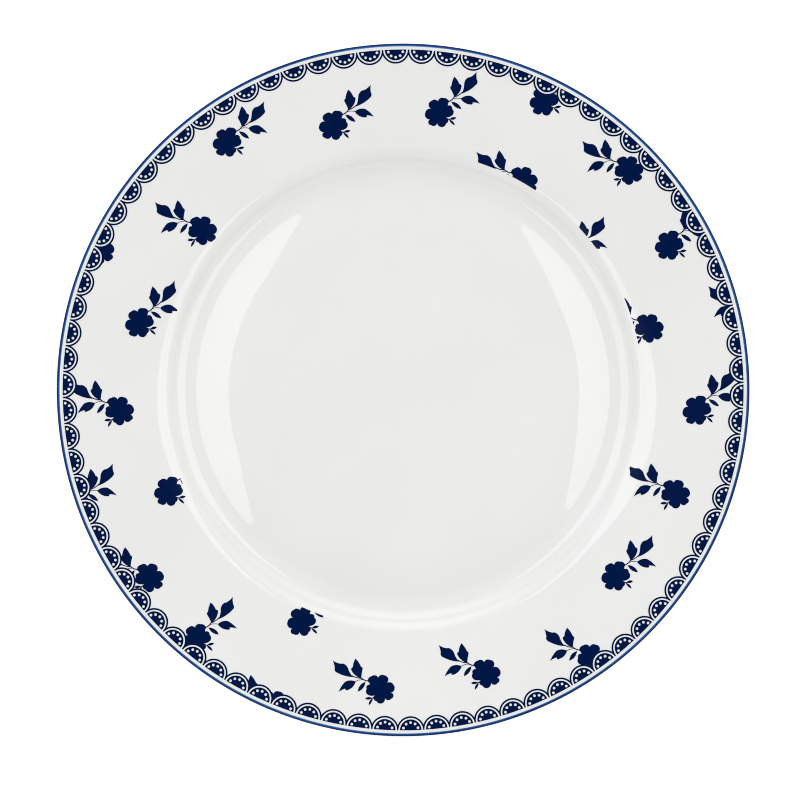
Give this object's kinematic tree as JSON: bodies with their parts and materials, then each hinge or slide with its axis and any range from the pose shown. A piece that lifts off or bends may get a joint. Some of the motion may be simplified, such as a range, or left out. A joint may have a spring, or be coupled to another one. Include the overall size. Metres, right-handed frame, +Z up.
{
  "type": "dinner plate",
  "caption": "Round glazed china dinner plate with a wide sloping rim, a shallow flat well and a foot ring; dark blue lace border, edge line and scattered flower sprigs.",
  "frame": {"origin": "centre of the foot ring's bearing edge, on the table under the middle of the plate", "axes": "+Z up out of the well along the plate's axis of revolution; +X and +Y lie across the plate, +Y towards the top of the print as it is seen upright"},
  "size_m": [0.27, 0.27, 0.0179],
  "materials": {
    "fired_china": "matt biscuit, bare only on the bearing edge of the foot",
    "clear_glaze": "high gloss white",
    "cobalt_print": "gloss, dark cobalt blue",
    "edge_blue": "gloss, cobalt blue line"
  },
  "bodies": {
    "root": {"china_body": "fired_china", "glaze_face_and_back": "clear_glaze", "glaze_foot_recess": "clear_glaze", "edge_line": "edge_blue", "lace_arches": "cobalt_print", "lace_half_moons": "cobalt_print", "flower_sprig_01": "cobalt_print", "flower_sprig_02": "cobalt_print", "flower_sprig_03": "cobalt_print", "flower_sprig_04": "cobalt_print", "flower_sprig_05": "cobalt_print", "flower_sprig_06": "cobalt_print", "flower_sprig_07": "cobalt_print", "flower_sprig_08": "cobalt_print", "flower_sprig_09": "cobalt_print", "flower_sprig_10": "cobalt_print", "flower_sprig_11": "cobalt_print", "flower_sprig_12": "cobalt_print", "flower_sprig_13": "cobalt_print", "flower_sprig_14": "cobalt_print", "flower_sprig_15": "cobalt_print", "flower_sprig_16": "cobalt_print", "flower_sprig_17": "cobalt_print", "flower_sprig_18": "cobalt_print", "flower_sprig_19": "cobalt_print", "flower_sprig_20": "cobalt_print", "flower_sprig_21": "cobalt_print", "flower_sprig_22": "cobalt_print", "flower_sprig_23": "cobalt_print", "flower_sprig_24": "cobalt_print", "flower_sprig_25": "cobalt_print", "flower_sprig_26": "cobalt_print"}
  },
  "joints": []
}
